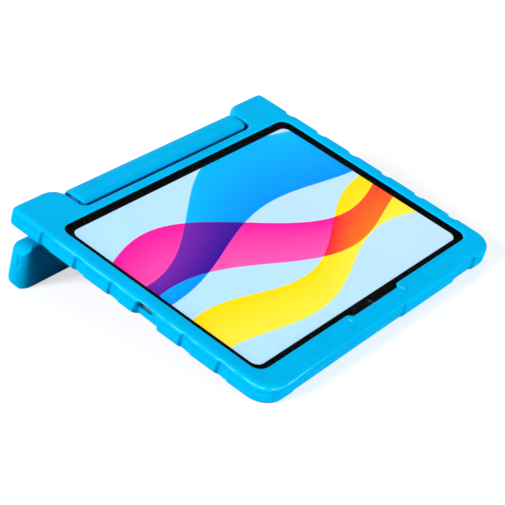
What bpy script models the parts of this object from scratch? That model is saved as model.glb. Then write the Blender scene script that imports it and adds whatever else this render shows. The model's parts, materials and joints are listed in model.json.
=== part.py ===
"""Foam tablet case whose carrying handle folds back to make a stand, with a tablet in it.

Every piece is drawn in the tablet's own frame. Its origin is the middle of the cover
glass, +X runs along the long side, +Y towards the handle and +Z out of the screen.
One empty tilts that frame onto the floor, and a second one carries the handle.
"""
import math

import bmesh
import bpy
from mathutils import Matrix, Vector

MM = 0.001
FIT = 0.3 * MM
OVER = 2.0 * MM
WELD = 0.000002
CHORD_ERROR = 0.08 * MM
FLAT_ANGLE = math.radians(0.3)
CORNER_SHARE = 0.49
TURN_STEPS = 24
SMALL_TURN_STEPS = 20

# Tablet
TABLET_LENGTH = 248.6 * MM
TABLET_WIDTH = 179.5 * MM
TABLET_THICK = 7.0 * MM
TABLET_CORNER = 16.0 * MM
TABLET_EDGE = 0.8 * MM
HOUSING_WALL = 1.4 * MM
HOUSING_FLOOR = 0.8 * MM
BEZEL = 10.8 * MM
SCREEN_CORNER = 6.0 * MM
GLASS_THICK = 0.6 * MM
GASKET_THICK = 0.5 * MM
DISPLAY_THICK = 1.8 * MM

# Case
CASE_BACK = 4.5 * MM
CASE_LIP = 1.7 * MM
CASE_EDGE = 3.0 * MM
SIDE_WALL = 5.4 * MM
NEAR_WALL = 11.5 * MM
LEDGE_WALL = 1.6 * MM
LIP_BORDER = 5.25 * MM
LIP_CORNER = 8.0 * MM
LIP_ROUND = 1.2 * MM
CASE_CORNER = 16.0 * MM
RECESS_ROUND = 1.5 * MM
LEFT_RECESS_DEPTH = 2.2 * MM
LEFT_RECESS_TOP_DEPTH = 0.5 * MM
RIGHT_RECESS_DEPTH = 3.4 * MM
RIGHT_RECESS_TOP_DEPTH = 3.1 * MM
RECESS_DRAFT = 0.5 * MM
RECESS_WIDTH = 10.5 * MM
RECESS_PITCH = 30.0 * MM
RECESS_MIDDLE = -5.0 * MM
RAMP_ANGLE = math.radians(50)
LONG_RECESS_START = 27.4 * MM
LONG_RECESS_LENGTH = 120.0 * MM
LONG_RECESS_DEPTH = 1.3 * MM
LONG_RECESS_TOP_DEPTH = 0.7 * MM
NEAR_RECESS_START = 25.6 * MM
NEAR_RECESS_LENGTH = 25.9 * MM
NEAR_RECESS_DEPTH = 2.0 * MM
NEAR_RECESS_TOP_DEPTH = 1.4 * MM
NOTCH_LENGTH = 57.0 * MM
NOTCH_SLOPE = 3.3 * MM
NOTCH_DEPTH = 3.2 * MM
NOTCH_ROUND = 1.0 * MM
BACK_PANEL_INSET = 34.5 * MM
BACK_PANEL_DEPTH = 1.0 * MM
BACK_PANEL_CORNER = 14.0 * MM

# Openings in the case
PORT_RECESS_WIDTH = 22.4 * MM
PORT_RECESS_Y = -2.3 * MM
PORT_RECESS_DEPTH = 4.3 * MM
PORT_WINDOW_MARGIN = 1.7 * MM
PORT_WINDOW_RISE = 1.2 * MM
BUTTON_WINDOW_MARGIN = 4.0 * MM
BUTTON_WINDOW_RISE = 1.7 * MM
WINDOW_CORNER = 2.8 * MM
CAMERA_HOLE_MARGIN = 4.4 * MM
CAMERA_HOLE_FLARE = 2.5 * MM

# Ears and hinge
EAR_WIDTH = 42.0 * MM
EAR_REACH = 15.4 * MM
EAR_OUTER_ROUND = 4.0 * MM
EAR_INNER_ROUND = 13.0 * MM
BAY_ROUND = 5.0 * MM
BAR_GAP = 1.1 * MM
BAR_END_GAP = 1.6 * MM
PIN_RADIUS = 3.2 * MM
PIN_REACH = 15.0 * MM
PIN_LEAD = 0.8 * MM
PIN_ROOT_STEP = 1.4 * MM
PIN_ROOT_LENGTH = 26.0 * MM
BARB_COUNT = 4
BARB_DEPTH = 0.7 * MM
BUSH_WALL = 0.7 * MM
BUSH_END = 3.0 * MM
BUSH_FLANGE_REACH = 0.9 * MM
BUSH_FLANGE_THICK = 0.8 * MM
LUG_REACH = 1.2 * MM
LUG_WIDTH = 2.4 * MM
LUG_LENGTH = 4.0 * MM
LUG_SETBACK = 8.0 * MM
LUG_SLACK = math.radians(6)
TRACK_STEPS = 10
HANDLE_TURN = math.radians(90)

# Handle, measured from the hinge axis
BAR_FRONT = 9.3 * MM
BAR_BACK = 10.0 * MM
BAR_ABOVE_CASE = 0.3 * MM
BAR_BELOW_CASE = 1.1 * MM
BAR_CROWN = 0.5 * MM
BAR_CROWN_RADIUS = 60.0 * MM
BAR_ROUND = 6.0 * MM
BAR_END_ROUND = 2.0 * MM
BAR_CORNER = 6.5 * MM
HANDLE_THICK = 15.0 * MM
HANDLE_EDGE = 4.0 * MM
WING_BELOW_CASE = 10.8 * MM
WING_INSET = 0.5 * MM
WING_TOP_ROUND = 6.0 * MM
FOOT_ROUND = 9.0 * MM
NECK_ROUND = 5.0 * MM
SLOT_LENGTH = 112.0 * MM
SLOT_HEIGHT = 21.0 * MM
SLOT_DROP = 12.0 * MM
SLOT_ROUND = 2.8 * MM

# Tablet details
CAMERA_INSET = 14.5 * MM
CAMERA_RADIUS = 6.6 * MM
CAMERA_PROUD = 0.9 * MM
CAMERA_RIM = 1.3 * MM
CAMERA_DEPTH = 3.0 * MM
LENS_THICK = 0.5 * MM
FRONT_CAMERA_RADIUS = 1.9 * MM
FRONT_CAMERA_DEPTH = 2.6 * MM
POWER_LENGTH = 13.0 * MM
POWER_FROM_NEAR = 25.75 * MM
VOLUME_LENGTH = 10.0 * MM
VOLUME_FROM_FAR = 28.75 * MM
VOLUME_APART = 12.0 * MM
BUTTON_HEIGHT = 2.8 * MM
BUTTON_PROUD = 0.5 * MM
BUTTON_TRAVEL = 0.4 * MM
BUTTON_FLANGE = 0.4 * MM
BUTTON_FLANGE_THICK = 0.8 * MM
BUTTON_FLANGE_CORNER = 1.0 * MM
BUTTON_EDGE = 0.25 * MM
PORT_LENGTH = 9.0 * MM
PORT_HEIGHT = 3.2 * MM
PORT_DEPTH = 7.0 * MM
PORT_SHELL = 0.3 * MM
TONGUE = (6.6 * MM, 0.7 * MM)
TONGUE_SETBACK = 1.0 * MM
BATTERY_APART = 3.0 * MM
BATTERY_FAR_EDGE = 15.0 * MM
BATTERY_CORNER = 3.0 * MM
BATTERY_EDGE = 0.6 * MM
BOARD_WIDTH = 26.0 * MM
BOARD_THICK = 1.0 * MM
BOARD_END = 48.0 * MM
BOARD_EDGE = 13.0 * MM
BOARD_GAP = 4.0 * MM
BOARD_CORNER = 2.0 * MM
SPEAKER_WIDTH = 14.0 * MM
SPEAKER_THICK = 2.6 * MM
SPEAKER_EDGE = 9.0 * MM
SPEAKER_END = 53.0 * MM
SPEAKER_GAP = 1.0 * MM
SPEAKER_CORNER = 2.0 * MM
GRILLE_SLOTS = 3
GRILLE_PITCH = 8.0 * MM
GRILLE_SLOT = (6.0 * MM, 1.4 * MM)
GRILLE_FROM_CORNER = 53.75 * MM

# Stand
STAND_TILT = math.radians(12.8)

# Worked out from the above
SCREEN_LENGTH = TABLET_LENGTH - 2 * BEZEL
SCREEN_WIDTH = TABLET_WIDTH - 2 * BEZEL
CASE_TOP = FIT + CASE_LIP
POCKET_FLOOR = -TABLET_THICK - FIT
CASE_BOTTOM = POCKET_FLOOR - CASE_BACK
CASE_SIDE = TABLET_LENGTH / 2 + FIT + SIDE_WALL
CASE_NEAR = TABLET_WIDTH / 2 + FIT + NEAR_WALL
LEDGE_Y = TABLET_WIDTH / 2 + FIT + LEDGE_WALL
HINGE_Y = LEDGE_Y + BAR_GAP + BAR_FRONT
HINGE_Z = (CASE_TOP + CASE_BOTTOM) / 2
EAR_FAR = HINGE_Y + EAR_REACH
EAR_INNER = CASE_SIDE - EAR_WIDTH
BAR_END = EAR_INNER - BAR_END_GAP
BAR_RISE = CASE_TOP - HINGE_Z + BAR_ABOVE_CASE
BAR_DROP = HINGE_Z - CASE_BOTTOM + BAR_BELOW_CASE
WING_DROP = HINGE_Z - CASE_BOTTOM + WING_BELOW_CASE
PIN_ROOT_RADIUS = PIN_RADIUS + PIN_ROOT_STEP
BUSH_RADIUS = PIN_RADIUS + LUG_REACH + FIT + BUSH_WALL
BUSH_BORE_DEPTH = PIN_REACH - BAR_END_GAP + 2 * FIT
BUSH_LENGTH = BUSH_BORE_DEPTH + BUSH_END
SIDE_LEVEL = -TABLET_THICK / 2
POWER_Y = POWER_FROM_NEAR - TABLET_WIDTH / 2
VOLUME_UP_Y = TABLET_WIDTH / 2 - VOLUME_FROM_FAR
VOLUME_DOWN_Y = VOLUME_UP_Y - VOLUME_APART
LIP_LENGTH = SCREEN_LENGTH + 2 * LIP_BORDER
LIP_WIDTH = SCREEN_WIDTH + 2 * LIP_BORDER
CAVITY_LENGTH = TABLET_LENGTH - 2 * HOUSING_WALL
CAVITY_WIDTH = TABLET_WIDTH - 2 * HOUSING_WALL
CAVITY_CORNER = TABLET_CORNER - HOUSING_WALL
CAVITY_FLOOR = -TABLET_THICK + HOUSING_FLOOR
DISPLAY_TOP = -GLASS_THICK - FIT
DISPLAY_BOTTOM = DISPLAY_TOP - DISPLAY_THICK
CAMERA_AT = Vector((TABLET_LENGTH / 2 - CAMERA_INSET, CAMERA_INSET - TABLET_WIDTH / 2))
FRONT_CAMERA_Y = -(SCREEN_WIDTH / 2 + TABLET_WIDTH / 2) / 2

# Frames that slabs are drawn in
FLAT = Matrix.Identity(3)
UPRIGHT = Matrix(((1, 0, 0), (0, 0, -1), (0, 1, 0)))
ACROSS = Matrix(((0, 0, 1), (1, 0, 0), (0, 1, 0)))


# Scene and materials

def clear_scene():
    for obj in list(bpy.data.objects):
        bpy.data.objects.remove(obj, do_unlink=True)


def new_collection(name):
    collection = bpy.data.collections.new(name)
    bpy.context.scene.collection.children.link(collection)
    return collection


def material(name, color, roughness, metallic=0.0, transmission=0.0):
    made = bpy.data.materials.new(name)
    made.use_nodes = True
    shader = made.node_tree.nodes["Principled BSDF"]
    shader.inputs["Base Color"].default_value = (*color, 1.0)
    shader.inputs["Roughness"].default_value = roughness
    shader.inputs["Metallic"].default_value = metallic
    shader.inputs["Transmission Weight"].default_value = transmission
    made.diffuse_color = (*color, 1.0)
    return made


clear_scene()
PARTS = new_collection("tablet_case")
CUTTERS = new_collection("cutters")
FOAM = material("blue_foam", (0.0, 0.43, 0.86), 0.55)
PIVOT = material("blue_plastic", (0.01, 0.2, 0.55), 0.4)
ALUMINIUM = material("aluminium", (0.75, 0.77, 0.8), 0.3, metallic=1.0)
BLACK = material("black_plastic", (0.008, 0.008, 0.009), 0.4)
SCREEN = material("display", (0.5, 0.78, 1.0), 0.3)
GLASS = material("clear_glass", (1.0, 1.0, 1.0), 0.05, transmission=1.0)
STEEL = material("steel", (0.6, 0.6, 0.62), 0.3, metallic=1.0)
BOARD = material("circuit_board", (0.01, 0.1, 0.05), 0.6)
CELL = material("battery_film", (0.03, 0.03, 0.035), 0.5)


# Outlines

def rounded_loop(corners):
    """Turns a closed list of (x, y, radius) corners into points, with arcs at the corners."""
    points = []
    count = len(corners)
    for i, (x, y, radius) in enumerate(corners):
        here = Vector((x, y))
        before = Vector(corners[i - 1][:2]) - here
        after = Vector(corners[(i + 1) % count][:2]) - here
        turn = math.pi - before.angle(after)
        if radius <= 0 or turn < 0.001:
            points.append(here)
            continue
        room = CORNER_SHARE * min(before.length, after.length)
        tangent = min(radius * math.tan(turn / 2), room)
        fillet = tangent / math.tan(turn / 2)
        middle = (before.normalized() + after.normalized()).normalized()
        centre = here + middle * (fillet / math.cos(turn / 2))
        start = here + before.normalized() * tangent - centre
        side = 1 if before.cross(after) < 0 else -1
        facet = 2 * math.acos(max(0.0, 1 - CHORD_ERROR / fillet))
        steps = max(2, math.ceil(turn / facet))
        for k in range(steps + 1):
            angle = side * turn * k / steps
            cos, sin = math.cos(angle), math.sin(angle)
            points.append(centre + Vector((start.x * cos - start.y * sin, start.x * sin + start.y * cos)))
    return points


def rectangle(length, width, radius, middle=(0.0, 0.0)):
    x, y = middle
    a, b = length / 2, width / 2
    return rounded_loop([
        (x - a, y - b, radius), (x + a, y - b, radius),
        (x + a, y + b, radius), (x - a, y + b, radius),
    ])


def case_outline():
    """The case from above: a straight wall all round, with an ear on each side of the bay."""
    right = [
        (CASE_SIDE, -CASE_NEAR, CASE_CORNER), (CASE_SIDE, EAR_FAR, EAR_OUTER_ROUND),
        (EAR_INNER, EAR_FAR, EAR_INNER_ROUND), (EAR_INNER, LEDGE_Y, BAY_ROUND),
    ]
    return rounded_loop(right + [(-x, y, r) for x, y, r in reversed(right)])


# Solids

def finish(obj, collection, paint=None):
    collection.objects.link(obj)
    if paint:
        obj.data.materials.clear()
        obj.data.materials.append(paint)
    if collection is CUTTERS:
        obj.hide_render = True
        obj.display_type = "WIRE"
    return obj


def smooth(obj, angle=35):
    obj.data.shade_smooth()
    obj.data.set_sharp_from_angle(angle=math.radians(angle))


def curve_to_mesh(curve_obj):
    """A new mesh with the curve's shape and its caps welded on."""
    bpy.context.view_layer.update()
    depsgraph = bpy.context.evaluated_depsgraph_get()
    mesh = bpy.data.meshes.new_from_object(curve_obj.evaluated_get(depsgraph))
    shape = bmesh.new()
    shape.from_mesh(mesh)
    bmesh.ops.remove_doubles(shape, verts=shape.verts, dist=WELD)
    bmesh.ops.dissolve_limit(shape, angle_limit=FLAT_ANGLE, verts=[], edges=shape.edges)
    bmesh.ops.recalc_face_normals(shape, faces=shape.faces)
    if shape.calc_volume(signed=True) < 0:
        bmesh.ops.reverse_faces(shape, faces=shape.faces)
    shape.to_mesh(mesh)
    shape.free()
    return mesh


def slab(name, loops, low, high, paint=None, edge=0.0, rings=2, plane=FLAT, collection=None):
    """A flat outline with thickness from low to high, and edges rounded by edge."""
    curve = bpy.data.curves.new(name, "CURVE")
    curve.dimensions = "2D"
    curve.fill_mode = "BOTH"
    curve.extrude = (high - low) / 2 - edge
    curve.bevel_depth = edge
    curve.bevel_resolution = rings - 1
    curve.offset = -edge
    for loop in loops:
        spline = curve.splines.new("POLY")
        spline.points.add(len(loop) - 1)
        for point, place in zip(spline.points, loop):
            point.co = (place[0], place[1], 0.0, 1.0)
        spline.use_cyclic_u = True
    drawn = bpy.data.objects.new(name + "_outline", curve)
    bpy.context.scene.collection.objects.link(drawn)
    mesh = curve_to_mesh(drawn)
    bpy.data.objects.remove(drawn, do_unlink=True)
    mesh.transform(Matrix.Translation((0, 0, (low + high) / 2)))
    mesh.transform(plane.to_4x4())
    mesh.name = name
    return finish(bpy.data.objects.new(name, mesh), collection or PARTS, paint)


def cutter_slab(name, loops, low, high, plane=FLAT):
    return slab(name, loops, low, high, plane=plane, collection=CUTTERS)


def turned(name, profile, along, place, paint=None, steps=TURN_STEPS, collection=None):
    """A profile of (radius, height) points turned about its axis, which then points along."""
    mesh = bpy.data.meshes.new(name)
    closed = profile[0][0] > WELD
    count = len(profile)
    edges = [(i, i + 1) for i in range(count - 1)]
    if closed:
        edges.append((count - 1, 0))
    mesh.from_pydata([(r, 0, h) for r, h in profile], edges, [])
    obj = finish(bpy.data.objects.new(name, mesh), collection or PARTS, paint)
    screw = obj.modifiers.new("turn", "SCREW")
    screw.steps = steps
    screw.render_steps = steps
    screw.use_merge_vertices = True
    screw.merge_threshold = WELD
    obj.rotation_euler = Vector(along).to_track_quat("Z", "Y").to_euler()
    obj.location = place
    return obj


def rod_cutter(name, radius, start, end, end_radius=None, steps=TURN_STEPS):
    """A round cutter between two points, or a cone with two radii."""
    start, end = Vector(start), Vector(end)
    length = (end - start).length
    far = radius if end_radius is None else end_radius
    profile = [(0, length), (far, length), (radius, 0), (0, 0)]
    return turned(name, profile, end - start, start, steps=steps, collection=CUTTERS)


def boolean(obj, other, operation="DIFFERENCE", solver="EXACT"):
    step = obj.modifiers.new(other.name, "BOOLEAN")
    step.object = other
    step.operation = operation
    step.solver = solver


def settle(obj):
    """Replaces the object's mesh by what its modifiers make of it, and removes its cutters."""
    bpy.context.view_layer.update()
    depsgraph = bpy.context.evaluated_depsgraph_get()
    mesh = bpy.data.meshes.new_from_object(obj.evaluated_get(depsgraph))
    used = [step.object for step in obj.modifiers if step.type == "BOOLEAN"]
    obj.modifiers.clear()
    obj.data = mesh
    for cutter in used:
        bpy.data.objects.remove(cutter, do_unlink=True)


def is_rim(tilts):
    """True where one face of an edge lies in the plane and the other stands on it."""
    low, high = sorted(tilts)
    return low < 0.1 and high > 0.9


def bevel_where(obj, chosen, width, segments):
    """Rounds the edges that the function chosen picks."""
    shape = bmesh.new()
    shape.from_mesh(obj.data)
    bmesh.ops.dissolve_limit(shape, angle_limit=FLAT_ANGLE, verts=shape.verts, edges=shape.edges)
    edges = [edge for edge in shape.edges if len(edge.link_faces) == 2 and chosen(edge)]
    bmesh.ops.bevel(
        shape, geom=edges, offset=width, segments=segments, profile=0.5,
        affect="EDGES", clamp_overlap=True)
    shape.to_mesh(obj.data)
    shape.free()


# Case

def lip_edge(edge):
    """The sharp top edge of the lip's opening, notch included."""
    if any(abs(v.co.z - CASE_TOP) > WELD * 10 for v in edge.verts):
        return False
    return is_rim(abs(face.normal.z) for face in edge.link_faces)


def recess_cutter(out, wall, start, length, depth, top_depth):
    """A shallow recess in the wall that faces out. Its floor leans, so it is deepest at the
    case's bottom, and its far end is a little deeper than its near one."""
    along = Vector((abs(out.y), abs(out.x)))
    slope = 1 / math.tan(RAMP_ANGLE)
    end = start + length
    corners = [
        (wall + OVER, start - OVER * slope, 0.0), (wall - depth, start + depth * slope, RECESS_ROUND),
        (wall - depth - RECESS_DRAFT, end - depth * slope, RECESS_ROUND),
        (wall + OVER, end + OVER * slope, 0.0),
    ]
    loop = rounded_loop([(*(out * x + along * y), r) for x, y, r in corners])
    cutter = cutter_slab("recess", [loop], CASE_BOTTOM - OVER, CASE_TOP + OVER)
    lean = out * (depth - top_depth) / (CASE_TOP - CASE_BOTTOM)
    shear = Matrix.Identity(4)
    shear[0][2], shear[1][2] = lean
    shear[0][3], shear[1][3] = -lean * CASE_BOTTOM
    cutter.data.transform(shear)
    return cutter


def recess_starts():
    """Near ends of the small recesses, which repeat along a side wall up to the ear's foot."""
    down = int((RECESS_MIDDLE - RECESS_WIDTH / 2 + CASE_NEAR - CASE_CORNER) / RECESS_PITCH)
    up = int((LEDGE_Y - RECESS_MIDDLE) / RECESS_PITCH)
    return [RECESS_MIDDLE + i * RECESS_PITCH - RECESS_WIDTH / 2 for i in range(-down, up + 1)]


def recess_cutters():
    """Small recesses in both side walls, a wide one at the port and two in the near wall."""
    left, right, near = Vector((-1, 0)), Vector((1, 0)), Vector((0, -1))
    port_start = PORT_RECESS_Y - PORT_RECESS_WIDTH / 2
    cutters = [
        recess_cutter(
            left, CASE_SIDE, port_start, PORT_RECESS_WIDTH, PORT_RECESS_DEPTH, LEFT_RECESS_TOP_DEPTH),
        recess_cutter(
            near, CASE_NEAR, LONG_RECESS_START - CASE_SIDE, LONG_RECESS_LENGTH,
            LONG_RECESS_DEPTH, LONG_RECESS_TOP_DEPTH),
        recess_cutter(
            near, CASE_NEAR, CASE_SIDE - NEAR_RECESS_START - NEAR_RECESS_LENGTH, NEAR_RECESS_LENGTH,
            NEAR_RECESS_DEPTH, NEAR_RECESS_TOP_DEPTH),
    ]
    for start in recess_starts():
        cutters.append(recess_cutter(
            right, CASE_SIDE, start, RECESS_WIDTH, RIGHT_RECESS_DEPTH, RIGHT_RECESS_TOP_DEPTH))
        clear = start > port_start + PORT_RECESS_WIDTH or start + RECESS_WIDTH < port_start
        if clear:
            cutters.append(recess_cutter(
                left, CASE_SIDE, start, RECESS_WIDTH, LEFT_RECESS_DEPTH, LEFT_RECESS_TOP_DEPTH))
    return cutters


def side_window(name, y, length, height, side):
    """A window through one of the case's side walls, at the tablet's half thickness."""
    loop = rectangle(length, height, WINDOW_CORNER, middle=(y, SIDE_LEVEL))
    inner = TABLET_LENGTH / 2 - OVER
    outer = CASE_SIDE + OVER
    low, high = (inner, outer) if side > 0 else (-outer, -inner)
    return cutter_slab(name, [loop], low, high, plane=ACROSS)


def camera_notch():
    """The widening of the lip's near edge that clears the front camera."""
    edge_y = -LIP_WIDTH / 2
    end = NOTCH_LENGTH / 2
    return cutter_slab("camera_notch", [rounded_loop([
        (-end, edge_y + OVER, 0), (-end, edge_y, 0),
        (NOTCH_SLOPE - end, edge_y - NOTCH_DEPTH, NOTCH_ROUND),
        (end - NOTCH_SLOPE, edge_y - NOTCH_DEPTH, NOTCH_ROUND),
        (end, edge_y, 0), (end, edge_y + OVER, 0),
    ])], 0.0, CASE_TOP + OVER)


def make_case():
    case = slab("case_body", [case_outline()], CASE_BOTTOM, CASE_TOP, FOAM, edge=CASE_EDGE, rings=3)
    pocket = rectangle(TABLET_LENGTH + 2 * FIT, TABLET_WIDTH + 2 * FIT, TABLET_CORNER + FIT)
    opening = rectangle(LIP_LENGTH, LIP_WIDTH, LIP_CORNER)
    panel = rectangle(
        TABLET_LENGTH - 2 * BACK_PANEL_INSET, TABLET_WIDTH - 2 * BACK_PANEL_INSET, BACK_PANEL_CORNER)
    port_window = (PORT_LENGTH + 2 * PORT_WINDOW_MARGIN, PORT_HEIGHT + 2 * PORT_WINDOW_RISE)
    button_window_height = BUTTON_HEIGHT + 2 * BUTTON_WINDOW_RISE
    cutters = recess_cutters() + [
        cutter_slab("pocket", [pocket], POCKET_FLOOR, FIT),
        cutter_slab("opening", [opening], 0.0, CASE_TOP + OVER),
        camera_notch(),
        side_window("port_window", 0.0, *port_window, side=-1),
    ]
    volume_middle = (VOLUME_UP_Y + VOLUME_DOWN_Y) / 2
    volume_span = VOLUME_APART + VOLUME_LENGTH + 2 * BUTTON_WINDOW_MARGIN
    power_span = POWER_LENGTH + 2 * BUTTON_WINDOW_MARGIN
    camera_hole = CAMERA_RADIUS + CAMERA_HOLE_MARGIN
    cutters += [
        side_window("volume_window", volume_middle, volume_span, button_window_height, side=1),
        side_window("power_window", POWER_Y, power_span, button_window_height, side=1),
        rod_cutter(
            "camera_hole", camera_hole, (*CAMERA_AT, POCKET_FLOOR + OVER / 2),
            (*CAMERA_AT, CASE_BOTTOM - OVER / 2), end_radius=camera_hole + CAMERA_HOLE_FLARE),
        cutter_slab("back_panel", [panel], CASE_BOTTOM - OVER, CASE_BOTTOM + BACK_PANEL_DEPTH),
    ]
    for side in (-1, 1):
        cutters.append(rod_cutter(
            "ear_bore", BUSH_RADIUS + FIT,
            (side * (EAR_INNER - OVER), HINGE_Y, HINGE_Z),
            (side * (EAR_INNER + BUSH_LENGTH + FIT), HINGE_Y, HINGE_Z)))
    for cutter in cutters:
        boolean(case, cutter)
    settle(case)
    bevel_where(case, lip_edge, LIP_ROUND, 3)
    smooth(case)
    return case


# Handle

def handle_corners():
    """The handle seen from the front, measured from the hinge axis."""
    sole = sole_height(0.0) - OVER
    wing = CASE_SIDE - WING_INSET
    right = [
        (BAR_END, 0.0, 0.0), (BAR_END, -WING_DROP, NECK_ROUND),
        (wing, -WING_DROP, WING_TOP_ROUND), (wing, sole, FOOT_ROUND),
    ]
    return [(-x, z, r) for x, z, r in right] + list(reversed(right))


def sole_height(y):
    """Height of the floor under a point y behind the hinge, from the hinge axis."""
    edge_y = CASE_EDGE - CASE_NEAR - HINGE_Y
    edge_z = CASE_BOTTOM + CASE_EDGE - HINGE_Z
    lowest = edge_y * math.sin(STAND_TILT) + edge_z * math.cos(STAND_TILT) - CASE_EDGE
    return (lowest - y * math.sin(STAND_TILT)) / math.cos(STAND_TILT)


def bar_section():
    """The hinge bar's section, seen along the axis: front, crowned top, back, underside."""
    return rounded_loop([
        (-BAR_FRONT, -BAR_DROP, BAR_ROUND), (BAR_BACK, -BAR_DROP, 0.0),
        (BAR_BACK, BAR_RISE, BAR_ROUND), (0.0, BAR_RISE + BAR_CROWN, BAR_CROWN_RADIUS),
        (-BAR_FRONT, BAR_RISE, BAR_ROUND),
    ])


def sole_cutter():
    """Everything under the floor, so that the foot stands flat on it."""
    size = 2 * (CASE_SIDE + OVER)
    bpy.ops.mesh.primitive_cube_add(size=size)
    floor = bpy.context.active_object
    floor.name = "under_floor"
    for collection in list(floor.users_collection):
        collection.objects.unlink(floor)
    floor.data.transform(Matrix.Translation((0, 0, -size / 2)))
    floor.location = (0, 0, sole_height(0.0))
    floor.rotation_euler = (-STAND_TILT, 0, 0)
    return finish(floor, CUTTERS)


def make_handle(hinge):
    middle = BAR_BACK - HANDLE_THICK / 2
    slot_middle = -SLOT_DROP - SLOT_HEIGHT / 2
    handle = slab(
        "handle", [rounded_loop(handle_corners())], -middle - HANDLE_THICK / 2,
        -middle + HANDLE_THICK / 2, FOAM, edge=HANDLE_EDGE, rings=3, plane=UPRIGHT)
    bar = slab(
        "hinge_bar", [bar_section()], -BAR_END, BAR_END, edge=BAR_END_ROUND,
        plane=ACROSS, collection=CUTTERS)
    slot = cutter_slab(
        "finger_slot", [rectangle(SLOT_LENGTH, SLOT_HEIGHT, SLOT_HEIGHT / 2, (0.0, slot_middle))],
        -HINGE_Y, HINGE_Y, plane=UPRIGHT)
    corners = cutter_slab("bar_corners", [rounded_loop([
        (-BAR_END, -BAR_FRONT, BAR_CORNER), (BAR_END, -BAR_FRONT, BAR_CORNER),
        (BAR_END, 2 * BAR_BACK, 0.0), (-BAR_END, 2 * BAR_BACK, 0.0),
    ])], -2 * BAR_RISE, 2 * BAR_RISE)
    boolean(bar, corners, "INTERSECT")
    boolean(handle, bar, "UNION")
    boolean(handle, slot)
    boolean(handle, sole_cutter())
    for side in (-1, 1):
        bore_end = side * (BAR_END - PIN_ROOT_LENGTH - FIT)
        boolean(handle, rod_cutter(
            "pin_bore", PIN_ROOT_RADIUS + FIT,
            (side * (BAR_END + OVER), 0, 0), (bore_end, 0, 0)))
    settle(handle)
    bpy.data.objects.remove(corners, do_unlink=True)
    bevel_where(handle, slot_edge, SLOT_ROUND, 3)
    smooth(handle)
    handle.parent = hinge
    return handle


def slot_edge(edge):
    """The two sharp rims of the finger slot."""
    for vertex in edge.verts:
        inside = abs(vertex.co.x) < SLOT_LENGTH / 2 + FIT
        level = -SLOT_DROP - SLOT_HEIGHT - FIT < vertex.co.z < -SLOT_DROP + FIT
        if not (inside and level):
            return False
    return is_rim(abs(face.normal.y) for face in edge.link_faces)


# Hinge pins and bushes

def pin_profile():
    """Root with barbs inside the bar, then the smooth shaft that turns in the bush."""
    tip = PIN_ROOT_LENGTH + PIN_REACH
    pitch = (PIN_ROOT_LENGTH - OVER) / BARB_COUNT
    barbs = []
    for i in range(BARB_COUNT):
        base = pitch * i
        barbs += [(PIN_ROOT_RADIUS - BARB_DEPTH, base), (PIN_ROOT_RADIUS, base + pitch)]
    outline = [(0, 0)] + barbs + [
        (PIN_ROOT_RADIUS, PIN_ROOT_LENGTH), (PIN_RADIUS, PIN_ROOT_LENGTH),
        (PIN_RADIUS, tip - PIN_LEAD), (PIN_RADIUS - PIN_LEAD, tip), (0, tip),
    ]
    return list(reversed(outline))


def bush_profile():
    """A cup with a flange at its mouth, which is at height 0 and faces down."""
    bore = PIN_RADIUS + FIT
    mouth = -FIT - BUSH_FLANGE_THICK
    flange = BUSH_RADIUS + BUSH_FLANGE_REACH
    return [
        (0, BUSH_LENGTH), (BUSH_RADIUS, BUSH_LENGTH), (BUSH_RADIUS, -FIT),
        (flange, -FIT), (flange, mouth), (bore, mouth), (bore, BUSH_BORE_DEPTH), (0, BUSH_BORE_DEPTH),
    ]


def make_pin(name, side, hinge):
    """The pin's lug runs in the bush's track and stops the handle at both ends."""
    base = side * (BAR_END - PIN_ROOT_LENGTH)
    pin = turned(name, pin_profile(), (side, 0, 0), (base, 0, 0), PIVOT)
    lug_at = side * (EAR_INNER + LUG_SETBACK)
    lug = slab(
        name + "_lug", [rectangle(LUG_WIDTH, PIN_RADIUS + LUG_REACH, 0.0,
                                  (0.0, -(PIN_RADIUS + LUG_REACH) / 2))],
        lug_at - LUG_LENGTH / 2, lug_at + LUG_LENGTH / 2, plane=ACROSS, collection=CUTTERS)
    boolean(pin, lug, "UNION")
    settle_in_place(pin)
    smooth(pin)
    pin.parent = hinge
    return pin


def make_bush(name, side, stand):
    bush = turned(name, bush_profile(), (side, 0, 0), (side * EAR_INNER, HINGE_Y, HINGE_Z), PIVOT)
    reach = PIN_RADIUS + LUG_REACH + FIT
    slack = math.asin(LUG_WIDTH / 2 / PIN_RADIUS) + LUG_SLACK
    start = -math.pi / 2 - slack
    span = HANDLE_TURN + 2 * slack
    arc = [start + span * k / TRACK_STEPS for k in range(TRACK_STEPS + 1)]
    track = [(HINGE_Y + reach * math.cos(a), HINGE_Z + reach * math.sin(a)) for a in arc]
    track.append((HINGE_Y, HINGE_Z))
    lug_at = side * (EAR_INNER + LUG_SETBACK)
    half = LUG_LENGTH / 2 + FIT
    boolean(bush, cutter_slab(name + "_track", [track], lug_at - half, lug_at + half, plane=ACROSS))
    settle_in_place(bush)
    smooth(bush)
    bush.parent = stand
    return bush


def settle_in_place(obj):
    """Settles the modifiers and moves the object's rotation into its mesh."""
    settle(obj)
    obj.data.transform(obj.rotation_euler.to_matrix().to_4x4())
    obj.rotation_euler = (0, 0, 0)


# Tablet

def stadium(length, height, y):
    return rectangle(length, height, height / 2, middle=(y, SIDE_LEVEL))


def wall_cutter(name, loop, side):
    """Cuts an outline through one short wall of the housing."""
    inner = CAVITY_LENGTH / 2 - OVER
    outer = TABLET_LENGTH / 2 + OVER
    low, high = (inner, outer) if side > 0 else (-outer, -inner)
    return cutter_slab(name, [loop], low, high, plane=ACROSS)


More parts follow.
